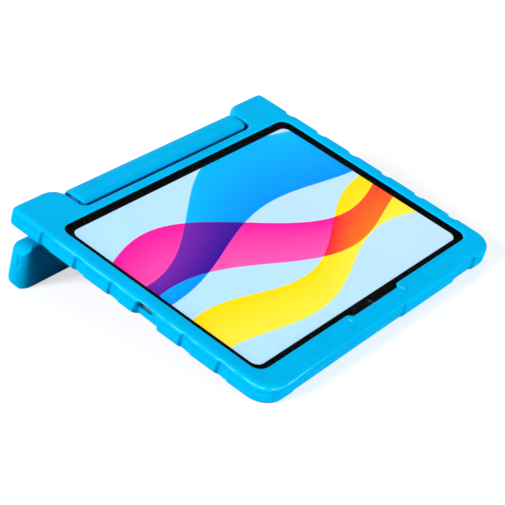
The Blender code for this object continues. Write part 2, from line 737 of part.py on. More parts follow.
def make_housing():
    outline = rectangle(TABLET_LENGTH, TABLET_WIDTH, TABLET_CORNER)
    housing = slab("tablet_housing", [outline], -TABLET_THICK, 0.0, ALUMINIUM, edge=TABLET_EDGE, rings=2)
    cavity = rectangle(CAVITY_LENGTH, CAVITY_WIDTH, CAVITY_CORNER)
    gap = 2 * FIT
    cutters = [
        cutter_slab("cavity", [cavity], CAVITY_FLOOR, OVER),
        wall_cutter("port_hole", stadium(PORT_LENGTH + gap, PORT_HEIGHT + gap, 0.0), -1),
        wall_cutter("power_hole", stadium(POWER_LENGTH + gap, BUTTON_HEIGHT + gap, POWER_Y), 1),
        rod_cutter(
            "camera_seat", CAMERA_RADIUS + FIT, (*CAMERA_AT, CAVITY_FLOOR + OVER),
            (*CAMERA_AT, -TABLET_THICK - OVER)),
    ]
    for y in (VOLUME_UP_Y, VOLUME_DOWN_Y):
        loop = stadium(VOLUME_LENGTH + gap, BUTTON_HEIGHT + gap, y)
        cutters.append(wall_cutter("volume_hole", loop, 1))
    for cutter in cutters:
        boolean(housing, cutter)
    grille_y = TABLET_WIDTH / 2 - GRILLE_FROM_CORNER
    for side in (-1, 1):
        for middle in (-grille_y, grille_y):
            if side > 0 and middle > 0:
                continue
            for k in range(GRILLE_SLOTS):
                y = middle + (k - (GRILLE_SLOTS - 1) / 2) * GRILLE_PITCH
                boolean(housing, wall_cutter("grille", stadium(*GRILLE_SLOT, y), side))
    settle(housing)
    smooth(housing)
    return housing


def make_screen():
    """Cover glass, black gasket and display panel, from the outside in."""
    size = (CAVITY_LENGTH - 2 * FIT, CAVITY_WIDTH - 2 * FIT)
    outline = rectangle(*size, CAVITY_CORNER - FIT)
    window = rectangle(SCREEN_LENGTH, SCREEN_WIDTH, SCREEN_CORNER)
    panel = rectangle(SCREEN_LENGTH - 2 * FIT, SCREEN_WIDTH - 2 * FIT, SCREEN_CORNER - FIT)
    glass = slab("cover_glass", [outline], -GLASS_THICK, 0.0, GLASS)
    gasket = slab("display_gasket", [outline], DISPLAY_TOP - GASKET_THICK, DISPLAY_TOP, BLACK)
    boolean(gasket, cutter_slab("screen_window", [window], -TABLET_THICK, OVER))
    boolean(gasket, rod_cutter(
        "front_camera_hole", FRONT_CAMERA_RADIUS + FIT, (0, FRONT_CAMERA_Y, -TABLET_THICK),
        (0, FRONT_CAMERA_Y, OVER), steps=SMALL_TURN_STEPS))
    settle(gasket)
    display = slab("display_panel", [panel], DISPLAY_BOTTOM, DISPLAY_TOP, SCREEN)
    return [glass, gasket, display]


def make_cameras():
    inside = CAMERA_RADIUS - CAMERA_RIM
    seat = CAMERA_PROUD + FIT + LENS_THICK
    ring = turned("rear_camera_ring", [
        (0, CAMERA_DEPTH + CAMERA_PROUD), (CAMERA_RADIUS, CAMERA_DEPTH + CAMERA_PROUD),
        (CAMERA_RADIUS, 0), (inside, 0), (inside, seat), (0, seat),
    ], (0, 0, 1), (*CAMERA_AT, -TABLET_THICK - CAMERA_PROUD), ALUMINIUM)
    lens = turned("rear_camera_lens", [
        (0, LENS_THICK), (inside - FIT, LENS_THICK), (inside - FIT, 0), (0, 0),
    ], (0, 0, 1), (*CAMERA_AT, -TABLET_THICK), GLASS)
    top = FRONT_CAMERA_DEPTH
    front = turned("front_camera", [
        (0, top), (FRONT_CAMERA_RADIUS, top), (FRONT_CAMERA_RADIUS, 0), (0, 0),
    ], (0, 0, 1), (0, FRONT_CAMERA_Y, DISPLAY_TOP - top), BLACK, steps=SMALL_TURN_STEPS)
    for piece in (ring, lens, front):
        smooth(piece)
    return [ring, lens, front]


def make_button(name, y, length):
    """A metal key with an inner flange that keeps it behind the housing's wall."""
    face = TABLET_LENGTH / 2 + BUTTON_PROUD
    behind = CAVITY_LENGTH / 2 - BUTTON_TRAVEL
    key = slab(
        name, [rectangle(length, BUTTON_HEIGHT, BUTTON_HEIGHT / 2)], behind - BUTTON_FLANGE_THICK / 2,
        face, ALUMINIUM, edge=BUTTON_EDGE, rings=1, plane=ACROSS)
    wide = (length + 2 * BUTTON_FLANGE, BUTTON_HEIGHT + 2 * BUTTON_FLANGE)
    flange = slab(
        name + "_flange", [rectangle(*wide, BUTTON_FLANGE_CORNER)],
        behind - BUTTON_FLANGE_THICK, behind, plane=ACROSS, collection=CUTTERS)
    boolean(key, flange, "UNION", "MANIFOLD")
    settle(key)
    smooth(key)
    key.location = (0, y, SIDE_LEVEL)
    return key


def make_port():
    """The socket: an oval shell that is closed behind, with a flat tongue inside."""
    mouth = -TABLET_LENGTH / 2 + FIT
    back = mouth + PORT_DEPTH
    port = slab("usb_c_port", [stadium(PORT_LENGTH, PORT_HEIGHT, 0.0)], mouth, back, STEEL, plane=ACROSS)
    inside = stadium(PORT_LENGTH - 2 * PORT_SHELL, PORT_HEIGHT - 2 * PORT_SHELL, 0.0)
    boolean(port, cutter_slab("port_inside", [inside], mouth - OVER, back - 2 * PORT_SHELL, plane=ACROSS))
    tongue = slab(
        "port_tongue", [rectangle(*TONGUE, 0.0, (0.0, SIDE_LEVEL))], mouth + TONGUE_SETBACK,
        back - PORT_SHELL, plane=ACROSS, collection=CUTTERS)
    boolean(port, tongue, "UNION")
    settle(port)
    smooth(port)
    return port


def make_inside():
    """Battery cells, logic board and speakers, side by side on the housing's floor."""
    floor = CAVITY_FLOOR + FIT
    ceiling = DISPLAY_BOTTOM - FIT
    board_near = BOARD_EDGE - CAVITY_WIDTH / 2
    battery_near = board_near + BOARD_WIDTH + BOARD_GAP
    battery_width = CAVITY_WIDTH / 2 - BATTERY_FAR_EDGE - battery_near
    battery_end = CAVITY_LENGTH / 2 - SPEAKER_EDGE - SPEAKER_WIDTH - SPEAKER_GAP
    battery_length = battery_end - BATTERY_APART / 2
    speaker_length = CAVITY_WIDTH - 2 * SPEAKER_END
    pieces = []
    for side, word in ((-1, "left"), (1, "right")):
        place = (side * (battery_end - battery_length / 2), battery_near + battery_width / 2)
        cell = rectangle(battery_length, battery_width, BATTERY_CORNER, place)
        pieces.append(slab("battery_" + word, [cell], floor, ceiling, CELL, edge=BATTERY_EDGE, rings=1))
        place = (side * (CAVITY_LENGTH / 2 - SPEAKER_EDGE - SPEAKER_WIDTH / 2), 0.0)
        box = rectangle(SPEAKER_WIDTH, speaker_length, SPEAKER_CORNER, place)
        pieces.append(slab("speaker_" + word, [box], floor, floor + SPEAKER_THICK, BLACK))
    place = (0.0, board_near + BOARD_WIDTH / 2)
    board = rectangle(CAVITY_LENGTH - 2 * BOARD_END, BOARD_WIDTH, BOARD_CORNER, place)
    pieces.append(slab("logic_board", [board], floor, floor + BOARD_THICK, BOARD))
    return pieces


# Assembly

def make_empty(name, parent=None):
    empty = bpy.data.objects.new(name, None)
    PARTS.objects.link(empty)
    empty.parent = parent
    return empty


def stand_on_floor(stand):
    """Moves the tilted frame so that the lowest point is at z = 0, in the middle of x and y."""
    bpy.context.view_layer.update()
    depsgraph = bpy.context.evaluated_depsgraph_get()
    corners = []
    for obj in PARTS.objects:
        if obj.type != "MESH":
            continue
        seen = obj.evaluated_get(depsgraph)
        corners += [seen.matrix_world @ vertex.co for vertex in seen.data.vertices]
    low = [min(c[i] for c in corners) for i in range(3)]
    high = [max(c[i] for c in corners) for i in range(3)]
    stand.location = (-(low[0] + high[0]) / 2, -(low[1] + high[1]) / 2, -low[2])


def main():
    stand = make_empty("stand_frame")
    stand.rotation_euler = (STAND_TILT, 0, 0)
    hinge = make_empty("handle_hinge", stand)
    hinge.location = (0, HINGE_Y, HINGE_Z)
    fixed = [make_case(), make_housing(), make_port()]
    fixed += make_screen() + make_cameras() + make_inside()
    fixed.append(make_button("power_button", POWER_Y, POWER_LENGTH))
    fixed.append(make_button("volume_up_button", VOLUME_UP_Y, VOLUME_LENGTH))
    fixed.append(make_button("volume_down_button", VOLUME_DOWN_Y, VOLUME_LENGTH))
    for piece in fixed:
        piece.parent = stand
    make_handle(hinge)
    for side, word in ((-1, "left"), (1, "right")):
        make_pin("hinge_pin_" + word, side, hinge)
        make_bush("hinge_bush_" + word, side, stand)
    stand_on_floor(stand)


main()
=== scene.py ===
"""Looks of the foam tablet case with its folding handle and the tablet inside.

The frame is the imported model. The two foam mouldings get finer skins with soft edges,
and every other piece keeps its solid and gets its finish here. Sizes are in metres,
apart from the places of paint, which are in millimetres.
"""
import json
import math

import bpy
import numpy as np
from mathutils import Matrix, Vector


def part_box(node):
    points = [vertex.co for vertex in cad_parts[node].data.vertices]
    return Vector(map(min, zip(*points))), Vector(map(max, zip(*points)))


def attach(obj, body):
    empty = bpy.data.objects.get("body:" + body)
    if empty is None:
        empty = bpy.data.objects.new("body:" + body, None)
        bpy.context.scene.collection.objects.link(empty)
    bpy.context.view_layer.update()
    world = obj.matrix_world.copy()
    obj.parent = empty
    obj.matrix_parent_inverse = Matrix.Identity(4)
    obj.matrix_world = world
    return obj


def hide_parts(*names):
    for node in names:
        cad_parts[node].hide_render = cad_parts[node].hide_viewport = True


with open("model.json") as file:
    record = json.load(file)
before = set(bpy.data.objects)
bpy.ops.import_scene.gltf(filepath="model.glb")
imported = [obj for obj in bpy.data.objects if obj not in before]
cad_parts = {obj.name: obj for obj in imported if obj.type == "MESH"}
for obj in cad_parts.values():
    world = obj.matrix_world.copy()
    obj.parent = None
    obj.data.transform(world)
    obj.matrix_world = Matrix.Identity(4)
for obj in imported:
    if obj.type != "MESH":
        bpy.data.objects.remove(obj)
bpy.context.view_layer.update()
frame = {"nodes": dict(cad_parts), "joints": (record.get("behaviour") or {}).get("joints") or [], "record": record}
NODES = frame["nodes"]
RECORD = frame["record"]

MM = 0.001
GLASS_THICK = 0.6 * MM

# The tablet's own frame: middle of the glass, +X along the long side, +Z out of the screen
BACK = next(mount for mount in RECORD["mounts"] if mount["name"] == "back_panel")
STAND_TILT = math.atan2(BACK["axis"][1], -BACK["axis"][2])
OUT = Vector((0.0, -math.sin(STAND_TILT), math.cos(STAND_TILT)))
GLASS_LOW, GLASS_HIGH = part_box("cover_glass")
GLASS_MIDDLE = (GLASS_LOW + GLASS_HIGH) / 2 + OUT * GLASS_THICK / 2
TABLET = Matrix.Translation(GLASS_MIDDLE) @ Matrix.Rotation(STAND_TILT, 4, "X")
HINGE_JOINT = next(joint for joint in frame["joints"] if joint["name"] == "handle_hinge")
HINGE = TABLET.inverted() @ Vector(HINGE_JOINT["pos_m"])

# Camera, in the tablet's frame
EYE = Vector((-780.67, -431.89, 621.10)) * MM
EYE_RIGHT = Vector((0.6148, -0.7556, 0.2258))
EYE_UP = Vector((0.3502, 0.5182, 0.7803))
LENS = 116.03
SENSOR = 36.0
NEAR_CLIP = 0.01

# World and floor
AMBIENT = 0.18
AMBIENT_TINT = (0.68, 0.8, 1.0)
WHITE = (1.0, 1.0, 1.0)
BLACK = (0.0, 0.0, 0.0)
FLOOR_SIZE = 8.0
FLOOR_THROWS = (0.12, 0.15, 0.2)
FLOOR_SEEN = (0.5, 0.5, 0.5)
FLOOR_GLOW = 0.65

# Foam skins
VOXEL = 0.55 * MM
SKIN_FACES = 185000
RELAX_STEPS = 5
RELAX_SHARE = 0.5
CASE_SIDE = 130.0 * MM
CASE_TOP = 2.0 * MM
FOOT_END = 129.5 * MM
FOOT_FRONT = 5.0 * MM
FOOT_BACK = 10.0 * MM
FOOT_TOP = -20.0 * MM
FOOT_LOW = -50.0 * MM
FOOT_CORNER_TOP = 6.0 * MM
FOOT_CORNER_LOW = 12.0 * MM
WING_TOP = -22.6 * MM
WING_CORNER = 9.0 * MM
SOLE_EDGE = 8.0 * MM

# Marks pressed into the skins
PARTING_LEVEL = -2.9 * MM
PARTING_WIDTH = 0.5 * MM
PARTING_DEPTH = 0.28 * MM
WALL_BAND = 6.0 * MM
WALL_NEAR = -94.0 * MM
WALL_FAR = 93.0 * MM
WALL_LEAN = 0.35
LEAN_FADE = 0.1
DENT_PLACES_MM = (
    (-101.0, -93.0), (-75.0, -92.5), (-54.0, -93.5), (-2.0, -92.0),
    (18.0, -94.0), (53.0, -93.0), (81.0, -92.5))
DENT_RING = 1.6 * MM
DENT_WIDTH = 0.7 * MM
DENT_STRETCH = 1.6
DENT_DEPTH = 0.3 * MM
RIM_TOP_BAND = 1.5 * MM
CREASE_BACK = 1.5 * MM
CREASE_WIDTH = 0.6 * MM
CREASE_DEPTH = 0.3 * MM
CREASE_END = 84.0 * MM
CREASE_FADE = 6.0 * MM
BAR_TOP_BAND = 1.0 * MM
SLOT_LEVEL = -34.0 * MM
SLOT_BACK = 1.7 * MM
SLOT_SWAY = 0.6 * MM
SLOT_WAVE = 1.6 * MM
SLOT_WIDTH = 0.6 * MM
SLOT_HALF = 4.5 * MM
SLOT_FADE = 1.5 * MM
SLOT_DEPTH = 1.1 * MM
FOOT_END_BAND = 2.0 * MM

# Foam colours and noise, with noise scales in features per metre
NOISE_SPAN = (0.3, 0.7)
FOAM_PLAIN = (0.0, 0.44, 0.86)
FOAM_DEEP = (0.0, 0.385, 0.70)
FOAM_PALE = (0.0, 0.415, 0.74)
FOAM_ROUGHNESS = (0.48, 0.62)
# Painted highlight: a pale tint along the outer top edge's fillet and at the notch's corners
EDGE_HIGHLIGHT_TINT = (0.11, 0.75, 1.0)
EDGE_HIGHLIGHT_SHARE = 0.6
GLINT_SHARE = 0.8
# Painted shade: a darker tint in the parting line's groove and along the bar's crease
GROOVE_SHADE_TINT = (0.0, 0.22, 0.5)
GROOVE_SHADE_SHARE = 0.55
CREASE_SHARE = 0.5
# Painted shade in the hinge gap between the bar and the case
GAP_SHADE_TINT = (0.0, 0.07, 0.22)
CLOUD_SCALE = 45.0
PATCH_SCALE = 75.0
PATCH_SPAN = (-0.3, 1.3)
SHEEN_SCALE = 120.0
WAVE_SCALE = 160.0
GRAIN_SCALE = 2600.0
GRAIN_SHARE = 0.35

# Places of paint on the foam, in millimetres in the tablet's frame
OUTER_SIDE = 126.5
OUTER_NEAR = 97.5
# Where the painted highlight runs along the outer top edge
EDGE_HIGHLIGHT_LEFT = (-85.0, -65.0)
EDGE_HIGHLIGHT_FAR = (60.0, 85.0)
EDGE_HIGHLIGHT_LEVEL = 0.55
EDGE_HIGHLIGHT_HALF = 0.35
# Where painted shade darkens the parting line's groove and the bar's crease
PARTING_HALF = 0.3
CREASE_HALF = 0.4
CREASE_LEVEL = 1.5
CREASE_TIPS = (74.0, 84.0)
# Painted highlights at the notch's corners: x, y and half length
GLINTS = ((26.8, -89.7, 2.6), (-31.2, -88.9, 2.4))
GLINT_LEVEL = 0.5
GLINT_NARROW = 2.0
GLINT_CORE = 0.4
FULL_REACH = 1.6
# Where painted shade darkens the hinge gap and the ears' inner faces
GAP_FRONT = 92.2
GAP_DARK = (93.4, 94.2)
GAP_FAINT = (94.0, 97.5)
GAP_FAINT_SHARE = 0.3
GAP_TIPS = (86.0, 88.0)
EAR_FACE = 87.2
EAR_HALF = 1.3
EAR_TOP = (0.8, 1.6)
EAR_LOW = -8.0

# Plastic, metal and glass
ROUGH_SPAN = (0.85, 1.2)
PLASTIC_SCALE = 400.0
PLASTIC_GRAIN = 3000.0
METAL_GRAIN = 4000.0
COATED_IOR = 1.03
SHARP_ANGLE = 35

# The lit picture: for each band, its middle line and then its half width, both as start,
# slope, wave height, wave length and phase along the screen, in millimetres
AZURE_BAND = ((34.0, 0.16, 15.0, 250.0, 0.9), (22.0, 0.04, 7.0, 310.0, 0.4))
PINK_BAND = ((-2.0, -0.14, 17.0, 235.0, 3.5), (19.0, -0.03, 7.0, 260.0, 2.4))
GOLD_BAND = ((-40.0, 0.12, 12.0, 205.0, 5.2), (16.0, 0.05, 6.0, 240.0, 4.0))
BAND_EDGE = 0.35
SCREEN_HALF = 113.0
SCREEN_PLAIN = (0.5, 0.78, 1.0)
GROUND = ((0.46, 0.77, 1.0), (0.53, 0.77, 1.0))
AZURE = ((0.0, 0.29, 1.0), (0.0, 0.47, 1.0))
PINK = ((1.0, 0.10, 0.46), (1.0, 0.005, 0.34))
GOLD = ((1.0, 0.85, 0.06), (1.0, 0.74, 0.0))
VIOLET = ((0.035, 0.004, 0.31), (0.18, 0.02, 0.40))
ORANGE = ((1.0, 0.20, 0.01), (1.0, 0.012, 0.035))
PICTURE_BASE = 0.28
PICTURE_GLOW = 0.6


# Camera, lights and floor

def make_camera():
    data = bpy.data.cameras.new("camera")
    data.sensor_fit = "HORIZONTAL"
    data.sensor_width = SENSOR
    data.lens = LENS
    data.clip_start = NEAR_CLIP
    camera = bpy.data.objects.new("camera", data)
    bpy.context.scene.collection.objects.link(camera)
    turn = Matrix((EYE_RIGHT, EYE_UP, EYE_RIGHT.cross(EYE_UP))).transposed()
    camera.matrix_world = TABLET @ Matrix.Translation(EYE) @ turn.to_4x4()
    bpy.context.scene.camera = camera


def make_sun(name, towards, share, disc):
    """A soft distant lamp, as wide as its disc in degrees. Its share is how much of a surface's
    colour it brings out head-on."""
    data = bpy.data.lights.new(name, "SUN")
    data.energy = math.pi * share
    data.angle = math.radians(disc)
    data.cycles.use_multiple_importance_sampling = False
    lamp = bpy.data.objects.new(name, data)
    bpy.context.scene.collection.objects.link(lamp)
    lamp.rotation_euler = Vector(towards).to_track_quat("Z", "Y").to_euler()


def make_world():
    """Even, slightly cool light all round, and plain white where the camera, metal or glass
    sees it."""
    world = bpy.data.worlds.new("studio")
    bpy.context.scene.world = world
    world.use_nodes = True
    tree = world.node_tree
    back = tree.nodes["Background"]
    seen = seen_directly(tree)
    tree.links.new(map_range(tree, seen, (0.0, 1.0), (AMBIENT, 1.0)), back.inputs["Strength"])
    tree.links.new(mix_colors(tree, seen, AMBIENT_TINT, WHITE), back.inputs["Color"])


def make_floor():
    """A wide white floor that keeps a soft shadow, and throws little light back up."""
    bpy.ops.mesh.primitive_plane_add(size=FLOOR_SIZE)
    floor = bpy.context.active_object
    floor.name = "floor"
    mat, tree, shader = new_material("floor_white", FLOOR_SEEN, roughness=1.0, specular=0.0)
    seen = seen_directly(tree)
    tree.links.new(mix_colors(tree, seen, FLOOR_THROWS, FLOOR_SEEN), shader.inputs["Base Color"])
    feed(tree, shader.inputs["Emission Color"], WHITE)
    glow = map_range(tree, seen, (0.0, 1.0), (0.0, FLOOR_GLOW))
    tree.links.new(glow, shader.inputs["Emission Strength"])
    floor.data.materials.append(mat)


def seen_directly(tree):
    """1 on camera, glossy and transmission rays, until they scatter off a matt surface."""
    path = tree.nodes.new("ShaderNodeLightPath")
    total = path.outputs["Is Camera Ray"]
    steps = (("MAXIMUM", "Is Glossy Ray"), ("MAXIMUM", "Is Transmission Ray"), ("SUBTRACT", "Diffuse Depth"))
    for operation, name in steps:
        step = tree.nodes.new("ShaderNodeMath")
        step.operation = operation
        step.use_clamp = True
        tree.links.new(total, step.inputs[0])
        tree.links.new(path.outputs[name], step.inputs[1])
        total = step.outputs[0]
    return total


# Node helpers

def feed(tree, socket, value):
    """Sets a socket to a number or a colour, or links another node's output to it."""
    if isinstance(value, tuple):
        socket.default_value = (*value, 1.0)
    elif isinstance(value, (int, float)):
        socket.default_value = value
    else:
        tree.links.new(value, socket)


def map_range(tree, value, source, target):
    """Maps one span to another, and stays within the target."""
    node = tree.nodes.new("ShaderNodeMapRange")
    node.inputs["From Min"].default_value = source[0]
    node.inputs["From Max"].default_value = source[1]
    node.inputs["To Min"].default_value = target[0]
    node.inputs["To Max"].default_value = target[1]
    tree.links.new(value, node.inputs["Value"])
    return node.outputs["Result"]


def mix_colors(tree, factor, below, above):
    """Below where the factor is 0, and above where it is 1."""
    node = tree.nodes.new("ShaderNodeMix")
    node.data_type = "RGBA"
    factor_in, below_in, above_in = node.inputs[0], node.inputs[6], node.inputs[7]
    feed(tree, factor_in, factor)
    feed(tree, below_in, below)
    feed(tree, above_in, above)
    return node.outputs[2]


def new_material(name, color, roughness, metallic=0.0, specular=0.5):
    mat = bpy.data.materials.new(name)
    mat.use_nodes = True
    shader = mat.node_tree.nodes["Principled BSDF"]
    shader.inputs["Base Color"].default_value = (*color, 1.0)
    shader.inputs["Roughness"].default_value = roughness
    shader.inputs["Metallic"].default_value = metallic
    shader.inputs["Specular IOR Level"].default_value = specular
    return mat, mat.node_tree, shader


def noise(tree, scale, detail=3.0, stretch=(1.0, 1.0, 1.0)):
    """Noise in the object's own coordinates, with a scale in features per metre."""
    place = tree.nodes.new("ShaderNodeTexCoord")
    grow = tree.nodes.new("ShaderNodeMapping")
    grow.inputs["Scale"].default_value = stretch
    texture = tree.nodes.new("ShaderNodeTexNoise")
    texture.inputs["Scale"].default_value = scale
    texture.inputs["Detail"].default_value = detail
    tree.links.new(place.outputs["Object"], grow.inputs["Vector"])
    tree.links.new(grow.outputs["Vector"], texture.inputs["Vector"])
    return texture.outputs["Fac"]


def spread(tree, field, target):
    """Maps noise from its usual span to the target span."""
    return map_range(tree, field, NOISE_SPAN, target)


def ramp(tree, field, low, high):
    """Goes from one colour to the other over the usual span of noise."""
    node = tree.nodes.new("ShaderNodeValToRGB")
    first, last = node.color_ramp.elements
    first.position, last.position = NOISE_SPAN
    first.color = (*low, 1.0)
    last.color = (*high, 1.0)
    tree.links.new(field, node.inputs["Fac"])
    return node.outputs["Color"]


def vary_roughness(tree, shader, field, roughness):
    low, high = ROUGH_SPAN
    tree.links.new(spread(tree, field, (roughness * low, roughness * high)), shader.inputs["Roughness"])


def bump(tree, shader, heights, strength, distance):
    """Adds the height fields one on top of the other."""
    normal = None
    for height, share in heights:
        node = tree.nodes.new("ShaderNodeBump")
        node.inputs["Strength"].default_value = strength * share
        node.inputs["Distance"].default_value = distance
        tree.links.new(height, node.inputs["Height"])
        if normal is not None:
            tree.links.new(normal, node.inputs["Normal"])
        normal = node.outputs["Normal"]
    tree.links.new(normal, shader.inputs["Normal"])


class Painter:
    """Builds a picture from simple shapes, in millimetres in the tablet's frame."""

    def __init__(self, tree):
        self.tree = tree
        place = tree.nodes.new("ShaderNodeTexCoord")
        level = tree.nodes.new("ShaderNodeMapping")
        level.vector_type = "TEXTURE"
        level.inputs["Location"].default_value = GLASS_MIDDLE
        level.inputs["Rotation"].default_value = (STAND_TILT, 0.0, 0.0)
        level.inputs["Scale"].default_value = (MM, MM, MM)
        split = tree.nodes.new("ShaderNodeSeparateXYZ")
        tree.links.new(place.outputs["Object"], level.inputs["Vector"])
        tree.links.new(level.outputs["Vector"], split.inputs["Vector"])
        self.x = split.outputs["X"]
        self.y = split.outputs["Y"]
        self.z = split.outputs["Z"]

    def math(self, operation, *values):
        node = self.tree.nodes.new("ShaderNodeMath")
        node.operation = operation
        for socket, value in zip(node.inputs, values):
            feed(self.tree, socket, value)
        return node.outputs[0]

    def times(self, total, *others):
        for other in others:
            total = self.math("MULTIPLY", total, other)
        return total

    def mix(self, factor, below, above):
        return mix_colors(self.tree, factor, below, above)

    def wavy(self, start, slope, height, length, phase):
        """A value that waves about a sloping line as it goes along the screen."""
        turn = self.math("MULTIPLY_ADD", self.x, 2 * math.pi / length, phase)
        bend = self.math("MULTIPLY", self.math("SINE", turn), height)
        return self.math("ADD", self.math("MULTIPLY_ADD", self.x, slope, start), bend)

    def step(self, value, limit):
        """1 where the value is past the limit."""
        return self.math("GREATER_THAN", value, limit)

    def fall(self, value, start, end):
        """1 up to the start, and down to 0 at the end."""
        return map_range(self.tree, value, (start, end), (1.0, 0.0))

    def band(self, value, middle, half):
        """1 near the middle, one half at about half a width from it, and 0 further out."""
        off = self.math("ABSOLUTE", self.math("SUBTRACT", value, middle))
        return self.limit(self.math("MULTIPLY_ADD", off, -1 / half, FULL_REACH))

    def spot(self, x, y, half):
        """A soft streak of painted highlight on the upper face, longer towards the near edge than it is wide."""
        along = self.math("MULTIPLY", self.math("SUBTRACT", self.x, x), GLINT_NARROW)
        across = self.math("SUBTRACT", self.y, y)
        squares = [self.math("POWER", run, 2.0) for run in (along, across)]
        far = self.math("SQRT", self.math("ADD", *squares))
        return self.times(self.fall(far, half * GLINT_CORE, half), self.step(self.z, GLINT_LEVEL))

    def ribbon(self, line, half_width):
        """Across runs from -1 to 1 over a wavy band, and inside is 1 within it."""
        width = self.wavy(*half_width)
        off = self.math("SUBTRACT", self.y, self.wavy(*line))
        across = self.math("DIVIDE", off, width)
        edge = self.math("SUBTRACT", width, self.math("ABSOLUTE", off))
        return across, self.limit(self.math("MULTIPLY_ADD", edge, 1 / BAND_EDGE, 0.5))

    def gradient(self, value, colors, span=(-1.0, 1.0)):
        return self.mix(map_range(self.tree, value, span, (0.0, 1.0)), *colors)

    def limit(self, value):
        node = self.tree.nodes.new("ShaderNodeClamp")
        self.tree.links.new(value, node.inputs["Value"])
        return node.outputs[0]


# Materials

def foam_material():
    """Moulded foam: a dry skin with a fine grain and faint clouding. A painted highlight runs along its outer top
    edge and lies at the notch's corners, and painted shade darkens the parting line's groove, the bar's crease and
    the hinge gap."""
    mat, tree, shader = new_material("foam", FOAM_PLAIN, roughness=0.55, specular=0.01)
    p = Painter(tree)
    beside = p.math("ABSOLUTE", p.x)
    near = p.step(p.math("MULTIPLY", p.y, -1.0), OUTER_NEAR)
    outer = p.math("MAXIMUM", p.step(beside, OUTER_SIDE), near)
    # Painted highlight along the outer top edge's fillet, broken into patches, joined by the painted highlights at
    # the notch's corners
    patches = spread(tree, noise(tree, PATCH_SCALE, detail=2.0), PATCH_SPAN)
    ends = p.math("MAXIMUM", p.fall(p.x, *EDGE_HIGHLIGHT_LEFT), p.step(p.x, OUTER_SIDE))
    highlight_reach = p.times(ends, p.fall(p.y, *EDGE_HIGHLIGHT_FAR))
    edge = p.times(patches, outer, highlight_reach, p.band(p.z, EDGE_HIGHLIGHT_LEVEL, EDGE_HIGHLIGHT_HALF))
    glints = p.math("MAXIMUM", *(p.spot(*glint) for glint in GLINTS))
    painted_highlight = p.math("MAXIMUM", edge, p.times(glints, GLINT_SHARE))
    # Painted shade in the parting line's groove and along the bar's crease
    parting = p.times(outer, p.band(p.z, PARTING_LEVEL / MM, PARTING_HALF))
    crease = p.times(p.band(p.y, (HINGE.y + CREASE_BACK) / MM, CREASE_HALF), p.step(p.z, CREASE_LEVEL))
    crease = p.times(crease, p.fall(beside, *CREASE_TIPS))
    groove_shade = p.math("MAXIMUM", parting, p.times(crease, CREASE_SHARE))
    tint = ramp(tree, noise(tree, CLOUD_SCALE, detail=2.0), FOAM_DEEP, FOAM_PALE)
    tint = p.mix(p.times(painted_highlight, EDGE_HIGHLIGHT_SHARE), tint, EDGE_HIGHLIGHT_TINT)
    tint = p.mix(p.times(groove_shade, GROOVE_SHADE_SHARE), tint, GROOVE_SHADE_TINT)
    # Painted shade in the hinge gap
    tint = p.mix(hinge_gap_shade(p), tint, GAP_SHADE_TINT)
    tree.links.new(tint, shader.inputs["Base Color"])
    tree.links.new(spread(tree, noise(tree, SHEEN_SCALE), FOAM_ROUGHNESS), shader.inputs["Roughness"])
    waves = noise(tree, WAVE_SCALE, detail=2.0)
    grain = noise(tree, GRAIN_SCALE, detail=2.0)
    bump(tree, shader, [(waves, 1.0), (grain, GRAIN_SHARE)], strength=0.12, distance=0.6 * MM)
    return mat


def hinge_gap_shade(p):
    """Painted shade that darkens the faces that the hinge bar and the case turn towards each other."""
    beside = p.math("ABSOLUTE", p.x)
    behind = p.step(p.y, GAP_FRONT)
    faint = p.times(p.fall(p.y, *GAP_FAINT), GAP_FAINT_SHARE)
    front = p.times(p.math("MAXIMUM", p.fall(p.y, *GAP_DARK), faint), behind, p.fall(beside, *GAP_TIPS))
    height = p.times(p.fall(p.z, *EAR_TOP), p.step(p.z, EAR_LOW))
    end = p.times(p.band(beside, EAR_FACE, EAR_HALF), behind, height)
    return p.math("MAXIMUM", front, end)


def plastic_material(name, color, roughness, specular=0.5):
    mat, tree, shader = new_material(name, color, roughness, specular=specular)
    vary_roughness(tree, shader, noise(tree, PLASTIC_SCALE), roughness)
    bump(tree, shader, [(noise(tree, PLASTIC_GRAIN), 1.0)], strength=0.05, distance=0.1 * MM)
    return mat


def metal_material(name, color, roughness, stretch=(1.0, 1.0, 1.0)):
    mat, tree, shader = new_material(name, color, roughness, metallic=1.0)
    grain = noise(tree, METAL_GRAIN, detail=2.0, stretch=stretch)
    vary_roughness(tree, shader, grain, roughness)
    bump(tree, shader, [(grain, 1.0)], strength=0.08, distance=0.05 * MM)
    return mat


def glass_material():
    """Coated cover glass: clear, with hardly any reflection, and open to the lamps."""
    mat, tree, shader = new_material("glass", WHITE, roughness=0.02)
    shader.inputs["Transmission Weight"].default_value = 1.0
    shader.inputs["IOR"].default_value = COATED_IOR
    clear = tree.nodes.new("ShaderNodeBsdfTransparent")
    path = tree.nodes.new("ShaderNodeLightPath")
    both = tree.nodes.new("ShaderNodeMixShader")
    output = tree.nodes["Material Output"]
    tree.links.new(path.outputs["Is Shadow Ray"], both.inputs[0])
    tree.links.new(shader.outputs[0], both.inputs[1])
    tree.links.new(clear.outputs[0], both.inputs[2])
    tree.links.new(both.outputs[0], output.inputs["Surface"])
    return mat


